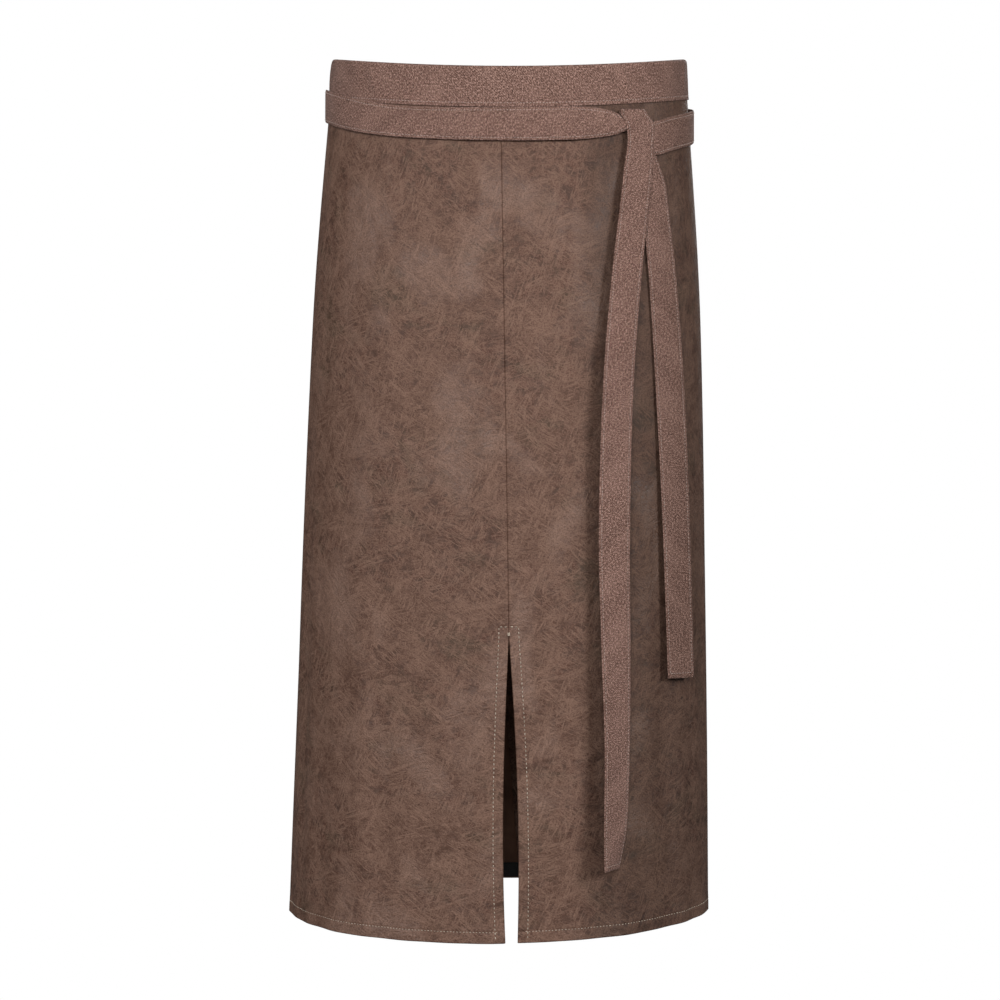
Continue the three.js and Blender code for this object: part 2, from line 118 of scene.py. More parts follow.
BACK_ANGLE = math.pi - math.asin(BACK_HALF_GAP / WAIST_HALF_WIDTH)

# Metres of flat cloth to a radian, for the weave and grain of each piece.
BAND_REACH = 0.15
PANEL_REACH = 0.165
HEM_REACH = 0.19


# ---------------------------------------------------------------- the shape of the apron

def unit(vectors):
    return vectors / np.linalg.norm(vectors, axis=-1, keepdims=True)


def run_along(points):
    """Distance along a line of points, from its first one."""
    return np.concatenate([[0], np.cumsum(np.linalg.norm(np.diff(points, axis=0), axis=1))])


def ramp(start, end, value):
    """0 up to the start and 1 from the end on, with a smooth step between."""
    share = np.clip((np.asarray(value, float) - start) / (end - start), 0, 1)
    return share * share * (3 - 2 * share)


def bump(value, middle, half_width):
    """1 at the middle, falling smoothly to 0."""
    return np.exp(-(((np.asarray(value, float) - middle) / half_width) ** 2))


def through(places, values, at):
    """A smooth curve through points, read at one place or many; values may be vectors."""
    places = np.asarray(places, float)
    values = np.asarray(values, float)
    at = np.asarray(at, float)
    i = np.clip(np.searchsorted(places, at) - 1, 0, len(places) - 2)
    before, after = np.maximum(i - 1, 0), np.minimum(i + 2, len(places) - 1)
    x0, x1 = places[i], places[i + 1]
    share = (at - x0) / (x1 - x0)

    def wide(a):
        return a.reshape(a.shape + (1,) * (values.ndim - 1))

    slope0 = (values[i + 1] - values[before]) / wide(x1 - places[before])
    slope1 = (values[after] - values[i]) / wide(places[after] - x0)
    step, s = wide(x1 - x0), wide(share)
    blend = s * s * (3 - 2 * s)
    bend = s * (1 - s) * step * ((1 - s) * slope0 - s * slope1)
    return values[i] + (values[i + 1] - values[i]) * blend + bend


def rise(heights, angle):
    """Height of an edge whose heights in front, at the side and behind are given."""
    front, side, back = heights
    saddle = ((front + back) / 2 - side) / 2
    return side + saddle + (front - back) / 2 * np.cos(angle) + saddle * np.cos(2 * angle)


def section(drop, angle):
    """Middle, half width and half depth of the level section at a drop."""
    places = (0, HIP_DROP, LENGTH)
    front = through(places, (WAIST_HALF_DEPTH, HIP_FRONT_DEPTH, HEM_FRONT_DEPTH), drop)
    back = through(places, (WAIST_HALF_DEPTH, HIP_BACK_DEPTH, HEM_BACK_DEPTH), drop)
    middle = through(places, (0, SWAY_HIP, SWAY_HEM), drop)
    width = through(places, (WAIST_HALF_WIDTH, HIP_HALF_WIDTH, HEM_HALF_WIDTH), drop)
    return middle, width, np.where(np.cos(angle) > 0, front, back)


def facing(angle, drop):
    _, width, depth = section(drop, angle)
    level = np.zeros(np.shape(angle))
    return unit(np.stack([depth * np.sin(angle), -width * np.cos(angle), level], axis=-1))


def on_apron(angle, drop, out):
    """Points at an angle, a drop and a distance out from the middle of the cloth."""
    angle, drop, out = np.broadcast_arrays(
        np.asarray(angle, float), np.asarray(drop, float), np.asarray(out, float))
    middle, width, depth = section(drop, angle)
    share = drop / LENGTH
    hem = rise(HEM_RISE, angle) + HEM_ROLL * np.sin(angle)
    lift = rise(WAIST_RISE, angle) * (1 - share) + hem * share
    flat = np.stack([middle + width * np.sin(angle), -depth * np.cos(angle), lift - drop], axis=-1)
    return flat + facing(angle, drop) * out[..., None]


def reach(angle, drop):
    """Metres of cloth to a radian of angle."""
    _, width, depth = section(drop, angle)
    return np.hypot(width * np.cos(angle), depth * np.sin(angle))


def front_angle(x, drop):
    middle, width, _ = section(drop, 0)
    return np.arcsin((x - middle) / width)


def back_angle(x, drop, side):
    middle, width, _ = section(drop, math.pi)
    return side * math.pi - np.arcsin((x - middle) / width)


def slit_half(drop):
    """Half the gap between the panels: the closed seam above, the slit that opens and narrows below."""
    share = np.maximum(0, np.asarray(drop, float) - SLIT_TOP) / SLIT_LENGTH
    return SEAM_GAP / 2 + SLIT_HALF_OPENING * np.sin(SLIT_OPENING_TURN * share)


def seam_x(drop):
    return through((0, SLIT_TOP, LENGTH), SEAM_X, drop)


def raised(angle, drop):
    """The right panel lies outside the left one where they overlap behind."""
    return OVERLAP_RAISE * ramp(math.pi - 0.5, math.pi - 0.22, angle) * ramp(0.090, 0.380, drop)


def cloth_lift(angle, drop):
    """How far a hanging panel stands out from the plain worn shape."""
    return drape(angle, drop) + raised(angle, drop)


def drape(angle, drop):
    """Soft folds of the hanging panels: long shallow waves that grow towards the hem, and a few dents."""
    grow = ramp(0.06, 0.75, drop)
    waves = (
        0.0011 * np.sin(9.0 * angle + 0.8 + 2.2 * drop)
        + 0.0007 * np.sin(17.0 * angle - 1.1 + 5.0 * drop)
        + 0.0005 * np.sin(29.0 * angle + 2.0 - 7.0 * drop)
    )
    dents = 0.0
    for at_angle, at_drop, wide, tall, deep in (
        (-0.62, 0.250, 0.16, 0.110, 0.0012),
        (-0.30, 0.640, 0.13, 0.060, 0.0010),
        (0.33, 0.150, 0.12, 0.050, 0.0009),
        (0.36, 0.600, 0.10, 0.070, 0.0011),
        (-0.95, 0.520, 0.14, 0.120, 0.0012),
    ):
        dents = dents + deep * bump(angle, at_angle, wide) * bump(drop, at_drop, tall)
    return waves * grow + dents


EDGES = {
    "left": (
        lambda drop: back_angle(-BACK_HALF_GAP + (BACK_HALF_GAP + HEM_OVERLAP) * drop / LENGTH, drop, -1),
        lambda drop: front_angle(seam_x(drop) - slit_half(drop), drop),
    ),
    "right": (
        lambda drop: front_angle(seam_x(drop) + slit_half(drop), drop),
        lambda drop: back_angle(BACK_HALF_GAP - (BACK_HALF_GAP + HEM_OVERLAP) * drop / LENGTH, drop, 1),
    ),
}


# ---------------------------------------------------------------- meshes

def add_to_scene(name, data):
    made = bpy.data.objects.new(name, data)
    bpy.context.scene.collection.objects.link(made)
    return made


def new_mesh(name, points, faces, uvs, looks, face_looks=None):
    """A smooth mesh object. uvs holds one pair per vertex, in metres of flat cloth."""
    mesh = bpy.data.meshes.new(name)
    mesh.from_pydata([tuple(p) for p in points], [], [tuple(int(i) for i in f) for f in faces])
    for look in looks:
        mesh.materials.append(look)
    corners = np.array([loop.vertex_index for loop in mesh.loops])
    mesh.uv_layers.new(name="flat").data.foreach_set("uv", np.asarray(uvs, float)[corners].ravel())
    mesh.polygons.foreach_set("use_smooth", [True] * len(mesh.polygons))
    if face_looks is not None:
        mesh.polygons.foreach_set("material_index", [int(i) for i in face_looks])
    mesh.update()
    return add_to_scene(f"{name}_detail", mesh)


def grid_faces(rows, columns, offset, flip=False):
    r, c = np.meshgrid(np.arange(rows - 1), np.arange(columns - 1), indexing="ij")
    a = (offset + r * columns + c).ravel()
    quads = np.stack([a, a + 1, a + columns + 1, a + columns], axis=1)
    return quads[:, ::-1] if flip else quads


def shell(name, outer, inner, uv, looks):
    """A closed thin cloth from its outer and inner grids (rows from the top down), with rounded rims."""
    rows, columns = outer.shape[:2]
    count = rows * columns
    around = [(0, c) for c in range(columns)]
    around += [(r, columns - 1) for r in range(1, rows)]
    around += [(rows - 1, c) for c in range(columns - 2, -1, -1)]
    around += [(r, 0) for r in range(rows - 2, 0, -1)]
    ring = np.array([r * columns + c for r, c in around])
    flat_outer, flat_inner = outer.reshape(-1, 3), inner.reshape(-1, 3)
    inside = np.array([
        min(max(r, 1), rows - 2) * columns + min(max(c, 1), columns - 2) for r, c in around])
    middle = (flat_outer + flat_inner) / 2
    away = middle[ring] - middle[inside]
    away /= np.maximum(np.linalg.norm(away, axis=1, keepdims=True), 1e-9)
    half = np.linalg.norm(flat_outer[ring] - flat_inner[ring], axis=1, keepdims=True) / 2
    rim = middle[ring] + away * half * 0.7
    points = np.concatenate([flat_outer, flat_inner, rim])
    faces = [grid_faces(rows, columns, 0, flip=True), grid_faces(rows, columns, count)]
    n = len(ring)
    turn = np.roll(np.arange(n), -1)
    rim_here, rim_next = 2 * count + np.arange(n), 2 * count + turn
    faces.append(np.stack([ring, ring[turn], rim_next, rim_here], axis=1))
    faces.append(np.stack([rim_here, rim_next, count + ring[turn], count + ring], axis=1))
    kinds = np.concatenate([
        np.zeros(len(faces[0])), np.full(len(faces[1]), len(looks) - 1),
        np.zeros(n), np.full(n, len(looks) - 1)])
    flat_uv = uv.reshape(-1, 2)
    uvs = np.concatenate([flat_uv, flat_uv, flat_uv[ring]])
    return new_mesh(name, points, np.concatenate(faces), uvs, looks, kinds)


def steps(start, end, size):
    return np.linspace(start, end, max(2, int(round(abs(end - start) / size)) + 1))


def fold_stations(radius, thickness, hidden_leg, size, bend_steps=8):
    """From the end of a hidden leg round a fold: inward, out, face inward, face out."""
    centre = radius + thickness / 2
    stations = [(inward, -2 * radius, 0.0, -1.0) for inward in steps(hidden_leg, centre, size)[:-1]]
    for turn in np.linspace(math.pi, 0, bend_steps + 1):
        sine, cosine = math.sin(turn), math.cos(turn)
        stations.append((centre - radius * sine, radius * (cosine - 1), -sine, cosine))
    return stations


def panel_columns():
    """Columns of a panel from edge to edge, as (edge, inward, out, face in, face out, share)."""
    border = 0.018
    turned = fold_stations(TURN_RADIUS, LEATHER, TURNING, 0.003)
    near = [(inward, 0.0, 0.0, 1.0) for inward in steps(turned[-1][0], border, 0.0008)[1:]]
    edge = turned + near
    middle = np.linspace(0, 1, 170)[1:-1]
    return (
        [("start", *station, 0.0) for station in edge]
        + [("middle", border, 0.0, 0.0, 1.0, share) for share in middle]
        + [("end", *station, 1.0) for station in reversed(edge)]
    )


def cloth_relief(side, column_edge, inward, drop):
    """How far stitching pulls the cloth in, and how far the turned layer under it pushes it out."""
    slit_edge = "end" if side == "left" else "start"
    relief = -ROW_HOLLOW * bump(LENGTH - drop, HEM_ROW, ROW_HALF_WIDTH)
    relief = relief + 0.00025 * ramp(HEM_TAPE_WIDTH, HEM_ROW, LENGTH - drop)
    if column_edge == slit_edge:
        stitched = ramp(SLIT_BOX_TOP - 0.002, SLIT_BOX_TOP, drop)
        relief = relief - ROW_HOLLOW * bump(inward, SLIT_ROW, ROW_HALF_WIDTH) * stitched
        across = bump(drop, SLIT_BOX_TOP, ROW_HALF_WIDTH) * (inward < SLIT_ROW + 0.001)
        relief = relief - 0.00035 * across
    elif column_edge != "middle":
        relief = relief - ROW_HOLLOW * bump(inward, TURNING_ROW, ROW_HALF_WIDTH)
    if column_edge != "middle":
        relief = relief + 0.00030 * ramp(TURNING + 0.002, TURNING - 0.003, inward)
    return relief


def panel_rows():
    """Drops of a panel's rows, close together at the slit's head and at the hem."""
    near_head, near_hem, close = 0.012, 0.020, 0.0008
    return np.concatenate([
        steps(PANEL_TOP, SLIT_TOP - near_head, 0.0045)[:-1],
        steps(SLIT_TOP - near_head, SLIT_TOP + near_head, close)[:-1],
        steps(SLIT_TOP + near_head, LENGTH - near_hem, 0.0040)[:-1],
        steps(LENGTH - near_hem, LENGTH, close),
    ])


def make_panel(side):
    start, end = EDGES[side]
    drops = panel_rows()
    from_angle, to_angle = start(drops), end(drops)
    layers, uv = {0.5: [], -0.5: []}, []
    for edge, inward, out, face_in, face_out, share in panel_columns():
        for face in layers:
            at = inward + face * LEATHER * face_in
            first = from_angle + at / reach(from_angle, drops)
            last = to_angle - at / reach(to_angle, drops)
            angle = first + (last - first) * share
            lift = cloth_lift(angle, drops)
            if face_out > 0:
                lift = lift + cloth_relief(side, edge, inward, drops)
            layers[face].append(on_apron(angle, drops, out + face * LEATHER * face_out + lift))
        aside = 0.002 + 2 * out if face_out < 0 else 0
        uv.append(np.stack([angle * PANEL_REACH + aside, drops], axis=1))
    outer, inner, uv = (np.stack(a, axis=1) for a in (*layers.values(), uv))
    return shell(f"panel_{side}", outer, inner, uv, [LEATHER_FACE, LEATHER_BACK])


def make_hem_tape(side):
    start, end = EDGES[side]
    drops = steps(LENGTH - HEM_TAPE_WIDTH, LENGTH - 0.0012, 0.0012)
    shares = np.linspace(0, 1, 190)[:, None]
    inset = TURNING + CLEAR
    first = (start(drops) + inset / reach(start(drops), drops))[None, :]
    last = (end(drops) - inset / reach(end(drops), drops))[None, :]
    angle = (first + (last - first) * shares).T
    drop = np.repeat(drops[:, None], len(shares), axis=1)
    base = cloth_lift(angle, drop) - PANEL_FACE - CLEAR / 2
    ribs = 0.00004 * np.sin(angle * 1500)
    outer = on_apron(angle, drop, base)
    inner = on_apron(angle, drop, base - HEM_TAPE - ribs)
    uv = np.stack([angle * HEM_REACH, drop], axis=-1)
    return shell(f"hem_tape_{side}", outer, inner, uv, [TAPE])


def band_creases(angle, drop):
    """The waistband's soft slanting creases: a shallow trough with a ridge beside it."""
    creases = 0.0
    for at_angle, at_drop, slant, wide, tall, high in (
        (0.19, 0.019, -4.6, 0.030, 0.015, 0.0020),
        (0.56, 0.016, -1.0, 0.040, 0.017, 0.0010),
        (0.67, 0.015, -1.6, 0.022, 0.015, 0.0019),
        (-0.35, 0.020, 2.2, 0.050, 0.015, 0.0008),
        (-0.88, 0.017, -2.0, 0.045, 0.015, 0.0009),
        (1.30, 0.017, 2.0, 0.050, 0.015, 0.0010),
        (-1.60, 0.017, -2.0, 0.060, 0.015, 0.0010),
        (2.20, 0.018, 2.0, 0.050, 0.014, 0.0010),
        (-2.30, 0.018, -2.6, 0.050, 0.014, 0.0010),
    ):
        across = (angle - at_angle - slant * (at_drop - drop)) / wide
        creases = creases + 2.3 * high * across * bump(across, 0, 1) * bump(drop, at_drop, tall)
    slow = 0.0005 * np.sin(angle * 13 + 1.0) * np.sin(angle * 5 + 60 * drop)
    clear_of_panel = np.maximum(creases + slow, -0.7 * CLEAR)
    near_top = ramp(0, 0.006, drop)
    return clear_of_panel * (1 - ramp(0.026, WAISTBAND_HEIGHT, drop)) * near_top


def make_waistband():
    legs = fold_stations(BAND_RADIUS, CANVAS, WAISTBAND_HEIGHT, 0.0018, bend_steps=10)
    outer_leg = [(inward, 0.0, 0.0, 1.0) for inward in steps(legs[-1][0], WAISTBAND_HEIGHT, 0.0010)[1:]]
    stations = list(reversed(outer_leg)) + list(reversed(legs))
    runs = run_along(np.array(stations)[:, :2])
    angle = np.linspace(-BACK_ANGLE, BACK_ANGLE, 460)
    layers, uv = {0.5: [], -0.5: []}, []
    for (inward, out, face_in, face_out), run in zip(stations, runs):
        for face in layers:
            drop = np.full(len(angle), inward + face * CANVAS * face_in)
            lift = band_creases(angle, drop) * (0.5 + 0.5 * face_out)
            if face_out > 0.99:
                lift = lift - 0.00035 * bump(drop, WAISTBAND_HEIGHT - WAISTBAND_ROW, 0.0010)
            level = BAND_OUT + out + face * CANVAS * face_out + lift
            layers[face].append(on_apron(angle, drop, level))
        uv.append(np.stack([angle * BAND_REACH, np.full(len(angle), run)], axis=1))
    # Rows run from the foot of the folded strip's inner leg, over the top, to the foot of its outer leg.
    outer, inner, uv = (np.stack(a[::-1], axis=0) for a in (*layers.values(), uv))
    return shell("waistband", outer, inner, uv, [CANVAS_LOOK])


# ---------------------------------------------------------------- straps

def strap_outline():
    """A folded strap's section as (share of half width, out): flat faces pinched at the stitch rows."""
    near_edge = np.array([0.70, 0.80, 0.84, 0.87, 0.93, 1.0])
    across = np.concatenate([-near_edge[::-1], np.linspace(-0.5, 0.5, 5), near_edge])
    row = 1 - 2 * TIE_ROW / TIE_WIDTH
    face = STRAP / 2 * (1 - 0.55 * np.abs(across) ** 12) - 0.00032 * bump(np.abs(across), row, 0.035)
    tip = 1.035
    return np.array([*zip(across, face), (tip, 0.0), *zip(across[::-1], -face[::-1]), (-tip, 0.0)])


def make_strap(name, middle, side, width, crown):
    """A strap swept along middle points with side vectors; its face looks along side x travel."""
    travel = unit(np.gradient(middle, axis=0))
    side = unit(side)
    out = unit(np.cross(side, travel))
    outline = strap_outline()
    run = run_along(middle)
    rings, uvs = [], []
    for i in range(len(middle)):
        across = outline[:, 0] * width[i] / 2
        bulge = outline[:, 1] + crown[i] * (1 - outline[:, 0] ** 2)
        rings.append(middle[i] + side[i] * across[:, None] + out[i] * bulge[:, None])
        uvs.append(np.stack([np.full(len(across), run[i]), across], axis=1))
    n = len(outline)
    points = np.concatenate(rings)
    faces = []
    for i in range(len(middle) - 1):
        a = i * n + np.arange(n)
        b = i * n + np.roll(np.arange(n), -1)
        faces.append(np.stack([a, b, b + n, a + n], axis=1))
    faces = [tuple(f) for block in faces for f in block]
    tip = 0.0004
    tips = np.array([middle[0] - travel[0] * tip, middle[-1] + travel[-1] * tip])
    last = (len(middle) - 1) * n
    for j in range(n):
        following = (j + 1) % n
        faces.append((len(points), following, j))
        faces.append((len(points) + 1, last + j, last + following))
    points = np.concatenate([points, tips])
    uvs = np.concatenate([*uvs, np.array([(run[0], 0.0), (run[-1], 0.0)])])
    made = new_mesh(name, points, faces, uvs, [CANVAS_LOOK])
    return made, (middle, side, out, width, crown)


def strap_row(sweep, edge, face, start, end):
    """Points and outward directions of the stitch row near one edge (-1 or 1) of one face (-1 or 1)."""
    middle, side, out, width, crown = sweep
    across = edge * (width / 2 - TIE_ROW)
    lift = face * (STRAP / 2 - THREAD_SUNK) + crown * (1 - (2 * across / width) ** 2)
    points = middle + side * across[:, None] + out * lift[:, None]
    run = run_along(points)
    keep = (run >= start) & (run <= run[-1] - end)
    return points[keep], face * out[keep]


def make_stitches(name, rows, look, pitch=STITCH, thickness=THREAD):
    """Short arched threads with sunken ends, along rows of (points, outward directions)."""
    points, faces, uvs = [], [], []
    along = np.array([-0.50, -0.44, -0.28, 0.0, 0.28, 0.44, 0.50])
    girth = np.array([0.35, 0.75, 1.0, 1.05, 1.0, 0.75, 0.35])
    sides = 6
    ring = np.linspace(0, 2 * math.pi, sides, endpoint=False)
    shown = 0.54
    total = 0
    for row_points, row_out in rows:
        run = run_along(row_points)
        count = max(1, int(run[-1] / pitch))
        real = run[-1] / count
        centres = (np.arange(count) + 0.5) * real
        wobble = np.sin(np.arange(count) * 12.9898) * 43758.5453
        wobble = wobble - np.floor(wobble) - 0.5
        for k in range(count):
            spots = centres[k] + along * real * shown
            line = np.stack([np.interp(spots, run, row_points[:, d]) for d in range(3)], axis=1)
            out = unit(np.array([np.interp(centres[k], run, row_out[:, d]) for d in range(3)]))
            side = np.cross(unit(line[-1] - line[0]), out)
            line = line + side * (wobble[k] * 0.00012 * (1 + 2 * along)[:, None])
            arch = thickness * (0.42 - 1.9 * along ** 2)
            line = line + out * arch[:, None]
            radius = girth * thickness / 2
            for i in range(len(along)):
                ring_points = (
                    line[i]
                    + side * (np.cos(ring) * radius[i])[:, None]
                    + out * (np.sin(ring) * radius[i])[:, None])
                points.append(ring_points)
                uvs.append(np.stack([np.full(sides, spots[i]), ring * 0.0004], axis=1))
            for i in range(len(along) - 1):
                a = total + i * sides + np.arange(sides)
                b = total + i * sides + np.roll(np.arange(sides), -1)
                faces.extend(zip(b, a, a + sides, b + sides))
            faces.append(tuple(total + np.arange(sides)))
            last = total + (len(along) - 1) * sides
            faces.append(tuple((last + np.arange(sides))[::-1]))
            total += len(along) * sides
    return new_mesh(name, np.concatenate(points), faces, np.concatenate(uvs), [look])


# ---------------------------------------------------------------- the ties

# Levels are distances out from the middle of the panels' cloth to the middle of a strap.
TIE_LEVEL = UNDER_LEVEL + STRAP + CLEAR
CROSSING_LEVEL = TIE_LEVEL + STRAP + CLEAR + 0.0006
SEWN_ANGLE = 0.40
FOLD_ANGLE = 0.728
KNOT_DROP = WAISTBAND_HEIGHT + 0.0195
KNOT_WIDTH = 0.020
LOOP_TOP = KNOT_DROP - KNOT_WIDTH / 2 - STRAP - CLEAR - STRAP / 2

LEFT_WRAP = (  # angle, drop
    (-math.pi - SEWN_ANGLE, WAISTBAND_HEIGHT / 2),
    (-math.pi - 0.24, WAISTBAND_HEIGHT / 2 + 0.001),
    (-math.pi + 0.24, WAISTBAND_HEIGHT + 0.017),
    (-math.pi / 2, WAISTBAND_HEIGHT + 0.006),
    (-0.70, WAISTBAND_HEIGHT + 0.0156),
    (0.0, WAISTBAND_HEIGHT + 0.0160),
    (0.45, WAISTBAND_HEIGHT + 0.0165),
    (0.70, KNOT_DROP),
)
LEFT_TURN = (  # angle, drop, level
    (0.755, KNOT_DROP + 0.0012, TIE_LEVEL),
    (0.800, KNOT_DROP + 0.0050, TIE_LEVEL - 0.0008),
    (0.828, KNOT_DROP + 0.0115, UNDER_LEVEL),
    (0.840, KNOT_DROP + 0.0210, UNDER_LEVEL),
    (0.848, KNOT_DROP + 0.0340, UNDER_LEVEL),
)
SHORT_TAIL = (  # drop, angle, level, twist
    (0.130, 0.873, 0.0022, 0.00),
    (0.190, 0.898, 0.0034, -0.08),
    (0.300, 0.930, 0.0056, -0.20),
    (0.420, 0.958, 0.0070, -0.16),
    (0.572, 0.982, 0.0084, -0.12),
)
RIGHT_WRAP = (  # angle, drop
    (math.pi + SEWN_ANGLE, WAISTBAND_HEIGHT / 2),
    (math.pi + 0.24, WAISTBAND_HEIGHT / 2 + 0.001),
    (math.pi - 0.24, WAISTBAND_HEIGHT + 0.017),
    (2.20, WAISTBAND_HEIGHT + 0.021),
    (math.pi / 2, WAISTBAND_HEIGHT + 0.0255),
    (1.10, WAISTBAND_HEIGHT + 0.0300),
    (0.90, WAISTBAND_HEIGHT + 0.0340),
)
RIGHT_TURN = (  # angle, drop, level
    (0.830, WAISTBAND_HEIGHT + 0.0340, TIE_LEVEL - 0.0004),
    (0.785, WAISTBAND_HEIGHT + 0.0290, UNDER_LEVEL),
    (0.765, WAISTBAND_HEIGHT + 0.0200, UNDER_LEVEL),
    (0.765, LOOP_TOP + 0.0060, UNDER_LEVEL),
)
LONG_TAIL = (  # drop, angle, level, twist
    (0.056, 0.762, OVER_LEVEL, 0.00),
    (0.064, 0.772, OVER_LEVEL, 0.00),
    (0.080, 0.762, OVER_LEVEL, 0.00),
    (0.100, 0.736, OVER_LEVEL + 0.0008, 0.00),
    (0.200, 0.626, 0.0090, 0.00),
    (0.300, 0.562, 0.0116, 0.02),
    (0.430, 0.537, 0.0120, 0.00),
    (0.530, 0.545, 0.0115, 0.13),
    (0.620, 0.552, 0.0118, 0.32),
    (0.700, 0.541, 0.0126, 0.44),
    (0.738, 0.520, 0.0140, 0.74),
)


def along_surface(points):
    """Evenly spaced angles, drops and levels through a path's points."""
    step = 0.0022
    points = np.array(points, float)
    run = run_along(on_apron(points[:, 0], points[:, 1], points[:, 2]))
    at = np.linspace(0, run[-1], int(run[-1] / step) + 1)
    return through(run, points, at).T


def level_on_wrap(angle, side):
    """The left tie is lifted over the right one where they cross behind."""
    if side == "right":
        return TIE_LEVEL
    behind = angle + math.pi
    lifted = ramp(-0.24, -0.19, behind) - ramp(0.25, 0.38, behind)
    return TIE_LEVEL + (CROSSING_LEVEL - TIE_LEVEL) * lifted


def wrap_points(wrap, side):
    angles = np.linspace(wrap[0][0], wrap[-1][0], 90)
    places = np.array(wrap)
    if side == "right":
        places = places[::-1]
    drops = through(places[:, 0], places[:, 1], angles)
    return [(a, d, float(level_on_wrap(a, side))) for a, d in zip(angles, drops)]


def surface_side(middle, angle, drop):
    """Across a strap that lies flat on the apron."""
    return unit(np.cross(np.gradient(middle, axis=0), facing(angle, drop)))


def turned_about(side, out, twist):
    return side * np.cos(twist)[:, None] + out * np.sin(twist)[:, None]


def tail_path(tail):
    return [(angle, drop, level) for drop, angle, level, _ in tail]


def tail_twist(tail, drop):
    """A hanging tail's turn about its own length; above it, that of its first point."""
    tail = np.array(tail)
    return through(tail[:, 0], tail[:, 3], np.maximum(drop, tail[0, 0]))


def wrap_wobble(angle, amount):
    """Slack cloth never lies quite flat: slow waves in and out, and a slight roll."""
    return amount * (0.6 * np.sin(6.3 * angle + 0.5) + 0.4 * np.sin(14.0 * angle + 2.0))


def make_left_tie():
    path = wrap_points(LEFT_WRAP, "left") + list(LEFT_TURN) + tail_path(SHORT_TAIL)
    angle, drop, level = along_surface(path)
    hanging = drop > SHORT_TAIL[0][0]
    free = (angle > -2.6) & (angle < 0.60) & ~hanging
    level = level + np.where(free, np.abs(wrap_wobble(angle, 0.0007)), 0)
    middle = on_apron(angle, drop, level)
    twist = np.where(hanging, tail_twist(SHORT_TAIL, drop), 0.0)
    twist = twist + np.where(free, wrap_wobble(angle + 1.0, 0.05), 0)
    side = turned_about(surface_side(middle, angle, drop), facing(angle, drop), twist)
    narrowing = (0.30, 0.36, 0.46, 0.55, 0.615, 0.67, 0.75)
    pulled_in = through(
        narrowing, (1.0, 0.99, 0.92, 0.79, 0.63, 0.43, 0.42), np.clip(angle, narrowing[0], narrowing[-1]))
    pulled_in = pulled_in + (1 - pulled_in) * ramp(0.075, 0.120, drop)
    width = TIE_WIDTH * pulled_in * (1 - 0.07 * bump(angle, -0.60, 0.42))
    crown = 0.0034 * (1 - pulled_in) * (1 - ramp(0.66, 0.75, angle))
    crown = crown - 0.0003 * ramp(0.14, 0.2, drop)
    return make_strap("left_tie", middle, side, width, crown)


def make_right_tie():
    path = wrap_points(RIGHT_WRAP, "right") + list(RIGHT_TURN)
    angle, drop, level = along_surface(path)
    free = (angle > 0.95) & (angle < 2.5)
    level = level + np.where(free, np.abs(wrap_wobble(angle, 0.0006)), 0)
    wrap = on_apron(angle, drop, level)
    wrap_side = surface_side(wrap, angle, drop)
    gathered = 1 - ramp(0.80, 0.90, angle)
    wrap_width = TIE_WIDTH + (KNOT_WIDTH - TIE_WIDTH) * 0.5 * gathered
    # The fold over the left tie's upper edge: up behind it, round, and down in front.
    radius = (OVER_LEVEL - UNDER_LEVEL) / 2
    turn = np.linspace(0, math.pi, 13)
    fold_drop = LOOP_TOP + radius * (1 - np.sin(turn))
    fold_level = UNDER_LEVEL + radius * (1 - np.cos(turn))
    fold_angle = np.full(len(turn), FOLD_ANGLE)
    path = [(FOLD_ANGLE, LOOP_TOP + radius + 0.0022, OVER_LEVEL)] + tail_path(LONG_TAIL)
    tail_angle, tail_drop, tail_level = along_surface(path)
    angle = np.concatenate([fold_angle, tail_angle])
    drop = np.concatenate([fold_drop, tail_drop])
    level = np.concatenate([fold_level, tail_level])
    front = on_apron(angle, drop, level)
    level_way = unit(on_apron(angle + 0.01, drop, level) - on_apron(angle - 0.01, drop, level))
    lean = 0.10 * (1 - ramp(0.045, 0.080, drop)) * ramp(UNDER_LEVEL, OVER_LEVEL, level)
    front_side = turned_about(level_way, facing(angle, drop), -tail_twist(LONG_TAIL, drop))
    front_side[:, 2] -= lean
    front_width = TIE_WIDTH - 0.0030 * (1 - ramp(LOOP_TOP + 0.001, LOOP_TOP + 0.008, drop))
    front_width = front_width - 0.0022 * bump(drop, 0.074, 0.012)
    middle = np.concatenate([wrap, front])
    side = np.concatenate([wrap_side, front_side])
    width = np.concatenate([wrap_width, front_width])
    crown = np.concatenate([np.zeros(len(wrap)), -0.0010 * bump(drop, 0.058, 0.018)])
    return make_strap("right_tie", middle, side, width, crown)


def tie_stitches(name, sweep):
    """The rows along both edges of both faces, and the row across the tail's end."""
    middle, side, out, width, _ = sweep
    from_tip = 0.004
    sewn_down = 0.028
    near_end = -3
    rows = []
    for edge in (-1, 1):
        for face, start in ((1, from_tip), (-1, sewn_down)):
            rows.append(strap_row(sweep, edge, face, start, from_tip))
    across = np.linspace(-1, 1, 9)[:, None] * (width[-1] / 2 - TIE_ROW)
    for face in (-1, 1):
        line = middle[near_end] + side[near_end] * across + out[near_end] * face * (STRAP / 2 - 0.0001)
        rows.append((line, np.repeat(face * out[near_end][None, :], len(line), axis=0)))
    return make_stitches(name, rows, BROWN_THREAD)


# ---------------------------------------------------------------- stitching of the panels and the waistband

def row_at(angle, drop, level):
    """Points and outward directions of a row of stitches at a level."""
    return on_apron(angle, drop, level), facing(angle, drop)


